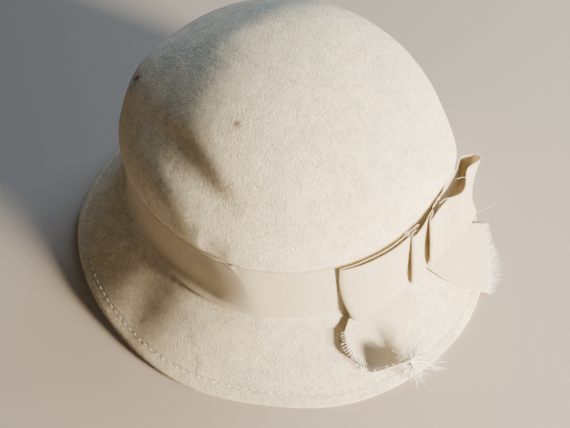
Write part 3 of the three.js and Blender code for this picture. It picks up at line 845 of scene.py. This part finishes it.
def felt_finish():
    """Wool felt: clouds and mottles, stains, painted shade over the moth hole, a combed nap and the groove
    that the stitches draw in, with painted shade along it.
    """
    material, tree, shader, where = finish("wool_felt", 0.95, 0.15, 0.55)
    place = where.outputs["Object"]
    look = clouds(tree, place, 24.0, 620.0, (0.91, 0.80, 0.58), (0.77, 0.695, 0.54), (0.88, 0.735, 0.44))
    dapple = put(tree, "ShaderNodeTexNoise", None, {
        "Vector": place, "Scale": 150.0, "Detail": 5.0, "Roughness": 0.62,
    }).outputs[0]
    mottle = put(tree, "ShaderNodeTexNoise", {"noise_dimensions": "4D"}, {
        "Vector": place, "W": 1.3, "Scale": 420.0, "Detail": 4.0, "Roughness": 0.8,
    }).outputs[0]
    dark_and_light = ramp(tree, dapple, 0.3, 0.7, 0.85, 1.06), ramp(tree, mottle, 0.3, 0.62, 0.75, 1.05)
    colour = shaded(tree, look["Color"], sums(tree, "MULTIPLY", *dark_and_light))
    # stains, and painted shade over the moth hole
    for (azimuth, radius, height), size, stain_and_shade_colour, strength in STAINS_AND_HOLE_SHADE:
        mask = put(tree, "ShaderNodeGroup", {"node_tree": soft_spot}, {
            "Vector": place, "Middle": polar(azimuth, radius, height), "Radius": size * MM,
        }).outputs[0]
        colour = blend_colours(tree, sums(tree, "MULTIPLY", mask, strength), colour, stain_and_shade_colour)
    # the fibres of the nap lie in two slanting directions
    fibres = []
    for turn in ((0.3, 0.5, 0.6), (-0.4, 0.2, -0.9)):
        combed = put(tree, "ShaderNodeMapping", None, {
            "Vector": place, "Rotation": turn, "Scale": (1.0, 0.55, 0.8),
        }).outputs[0]
        fibres.append(put(tree, "ShaderNodeTexNoise", None, {
            "Vector": combed, "Scale": 1250.0, "Detail": 3.0, "Roughness": 0.72,
        }).outputs[0])
    nap = sums(tree, "ADD", *fibres)
    inset = put(tree, "ShaderNodeAttribute", {"attribute_name": "inset"}).outputs["Fac"]
    off_line = put(tree, "ShaderNodeMath", {"operation": "ABSOLUTE"}, {
        0: sums(tree, "SUBTRACT", inset, STITCH_INSET),
    }).outputs[0]
    groove = ramp(tree, off_line, 0.2, 1.8)
    # painted shade: the felt's colour darkened along the groove of the stitches
    colour = shaded(tree, colour, ramp(tree, off_line, 0.4, 1.5, 0.90, 1.0))
    tree.links.new(colour, shader.inputs["Base Color"])
    height = sums(tree, "ADD", nap, sums(tree, "MULTIPLY", dapple, 1.1))
    height = sums(tree, "ADD", height, sums(tree, "MULTIPLY", groove, 0.8))
    bump_into(tree, shader, height, 0.75, 0.0007)
    tree.links.new(ramp(tree, nap, 0.7, 1.3, 0.88, 1.0), shader.inputs["Roughness"])
    return material


def ribbon_finish():
    """Plain-weave ribbon, with the weave on its own layout."""
    material, tree, shader, where = finish("ribbon_weave", 0.7, 0.12, 0.4)
    look = clouds(tree, where.outputs["Object"], 22.0, 700.0,
                  (0.665, 0.565, 0.39), (0.62, 0.53, 0.38), (0.655, 0.545, 0.35))
    across = put(tree, "ShaderNodeTexWave", {"bands_direction": "X"}, {
        "Vector": where.outputs["UV"], "Scale": 700.0, "Distortion": 0.3, "Detail": 1.0,
    }).outputs[1]
    along = put(tree, "ShaderNodeTexWave", {"bands_direction": "Y"}, {
        "Vector": where.outputs["UV"], "Scale": 560.0, "Distortion": 0.3, "Detail": 1.0,
    }).outputs[1]
    weave = sums(tree, "MAXIMUM", across, along)
    woven = shaded(tree, look["Color"], ramp(tree, weave, 0.2, 1.0, 0.93, 1.0))
    tree.links.new(woven, shader.inputs["Base Color"])
    height = sums(tree, "ADD", weave, sums(tree, "MULTIPLY", look["Cloud"], 4.0))
    bump_into(tree, shader, height, 0.5, 0.0001)
    tree.links.new(ramp(tree, look["Fleck"], 0.3, 0.7, 0.62, 0.8), shader.inputs["Roughness"])
    return material


def thread_finish(name, clean, grey):
    """Bare thread of two near colours."""
    material, tree, shader, where = finish(name, 0.75, 0.3, 0.4)
    look = clouds(tree, where.outputs["Object"], 120.0, 900.0, clean, grey, clean)
    tree.links.new(look["Color"], shader.inputs["Base Color"])
    return material


felt_cloth = felt_finish()
ribbon_cloth = ribbon_finish()
ribbon_thread = thread_finish("ribbon_thread", (0.84, 0.80, 0.73), (0.70, 0.66, 0.60))
dark_hair = thread_finish("dark_hair", (0.10, 0.06, 0.03), (0.07, 0.045, 0.025))
hem_thread = thread_finish("hem_thread", (0.96, 0.95, 0.90), (0.90, 0.87, 0.80))

# Pieces

dress(felt_hat, "felt_body", felt_cloth)

ribbon_band = band_ribbon()
front_loop = ribbon("front_loop", "bow_loop_front", 96, 16, 100, loop_place(FRONT_LOOP))
back_loop = ribbon("back_loop", "bow_loop_back", 110, 16, 100, loop_place(BACK_LOOP))
bow_knot = ribbon("pleated_knot", "bow_knot", 150, 20, 60, knot_place)

front_place = tail_place(FRONT_TAIL, turned_up)
back_place = tail_place(BACK_TAIL)
front_tail = ribbon("front_tail", "bow_tail_front", 60, 40, 66, front_place)
back_tail = ribbon("back_tail", "bow_tail_back", 44, 28, 72, back_place)


def back_fray_length(s):
    """Long threads about a third of the way across the cut, and short ones beyond."""
    return 4.2 + 8.2 * math.exp(-((s - 0.34) / 0.28) ** 2)


back_ends = cut_end_fray(back_place, 380, back_fray_length, 18, 1.6, 0.26)
back_fray = threads("back_tail_fray", back_ends, 0.34, ribbon_thread)
front_ends = cut_end_teeth(front_place, 34, 8, 4.4)
front_fray = threads("front_tail_fray", front_ends, 0.36, ribbon_thread)


def tuft_lines():
    """The burst of threads at the front tail's turned-up corner, in locks."""
    level = (polar(TUFT_AZIMUTH + 90, 1000, 0) - AXIS).normalized()
    upslope = (on_hat(TUFT_AZIMUTH, TUFT_UPPER) - on_hat(TUFT_AZIMUTH, TUFT_LOWER)).normalized()
    up = level.cross(upslope).normalized()
    made = []
    for angle, length, count, rise in TUFT_LOCKS:
        for _ in range(count):
            turn = math.radians(angle + chance.uniform(-8, 8))
            way = level * math.cos(turn) + upslope * math.sin(turn)
            root = front_place(chance.uniform(0.97, 1.0), chance.uniform(0.95, 0.995))
            reach = length * chance.uniform(0.6, 1.1)
            made.append(curled(root, way, up, reach, rise * chance.uniform(0.6, 1.4), 0.14))
    return made


tuft = threads("front_tail_tuft", tuft_lines(), 0.5, ribbon_thread)


def thread_through(places, count=14):
    """A thread's line through places by azimuth, radius and height."""
    line = curve_through([polar(*place) for place in places])
    return [line(k / (count - 1)) for k in range(count)]


def tangle(azimuth, radius, height, size, count):
    """Small loops of sewing thread about a place."""
    made = []
    for _ in range(count):
        shift = Vector([chance.uniform(-size, size) * 0.5 for _ in range(3)])
        middle = polar(azimuth, radius, height) + shift * MM
        tilt = Vector([chance.uniform(-1, 1) for _ in range(3)]).normalized()
        side = tilt.orthogonal().normalized()
        other = tilt.cross(side)
        arc = chance.uniform(3.5, 6.0)
        points = []
        for k in range(10):
            turn = arc * k / 9
            way = side * math.cos(turn) + other * math.sin(turn)
            points.append(middle + way * size * chance.uniform(0.7, 1.0) * MM)
        made.append(points)
    return made


loose_ends = [
    thread_through(((20.0, 114.6, 42), (21.6, 118.5, 42.5), (24.0, 123.5, 40), (27.0, 128.0, 34))),
    thread_through(((15.2, 96.6, 79.0), (16.0, 99.0, 79.8), (16.8, 102.2, 78.8))),
]
loose_ends += tangle(-12.2, 90.6, 78.2, 1.1, 9)
loose_ends += tangle(5.6, 91.8, 78.0, 0.8, 4)
threads("loose_threads", loose_ends, 0.26, ribbon_thread)

hair_line = thread_through((
    (-77.6, 117.2, 14.55), (-76.95, 119.95, 12.4), (-76.7, 123.05, 9.85), (-76.65, 125.9, 7.5),
))
threads("stray_hair", [hair_line], 0.26, dark_hair)

stitch_row()

# Floor, light and camera

bpy.ops.object.select_all(action="DESELECT")
bpy.ops.mesh.primitive_plane_add(size=8)
floor = bpy.context.active_object
floor.name = "floor"
pale = bpy.data.materials.new("pale_floor")
pale.use_nodes = True
floor_shader = pale.node_tree.nodes["Principled BSDF"]
floor_shader.inputs["Base Color"].default_value = (0.48, 0.42, 0.355, 1)
floor_shader.inputs["Roughness"].default_value = 0.7
floor.data.materials.append(pale)


def soft_light(name, azimuth, elevation, size, power, colour):
    """A square soft light that looks at the hat."""
    lamp = bpy.data.lights.new(name, "AREA")
    lamp.shape = "SQUARE"
    lamp.size = size
    lamp.energy = power
    lamp.color = colour
    obj = bpy.data.objects.new(name, lamp)
    bpy.context.scene.collection.objects.link(obj)
    turn, lift = math.radians(azimuth), math.radians(elevation)
    way = Vector((math.cos(turn) * math.cos(lift), math.sin(turn) * math.cos(lift), math.sin(lift)))
    obj.location = AXIS + Vector((0, 0, LIGHT_AIM)) + way * LIGHT_DISTANCE
    obj.rotation_euler = way.to_track_quat("Z", "Y").to_euler()


soft_light("warm_key", 4, 11, 0.3, 136, (1.0, 0.87, 0.68))
soft_light("cool_window", 80, 42, 0.9, 17, (0.54, 0.74, 1.0))
soft_light("top_fill", -60, 76, 1.0, 1.4, (1.0, 0.88, 0.76))
world = bpy.data.worlds.new("room")
world.use_nodes = True
backdrop = world.node_tree.nodes["Background"]
backdrop.inputs["Color"].default_value = (1.0, 0.80, 0.64, 1)
backdrop.inputs["Strength"].default_value = 0.042
bpy.context.scene.world = world

eye = bpy.data.cameras.new("eye")
eye.sensor_width = SENSOR_WIDTH
eye.lens = SENSOR_WIDTH * CAMERA_FOCAL
camera = bpy.data.objects.new("eye", eye)
bpy.context.scene.collection.objects.link(camera)
camera.location = AXIS + Vector(CAMERA_PLACE) * MM
aim = AXIS + Vector(CAMERA_AIM) * MM
camera.rotation_euler = (aim - camera.location).to_track_quat("-Z", "Y").to_euler()
bpy.context.scene.camera = camera
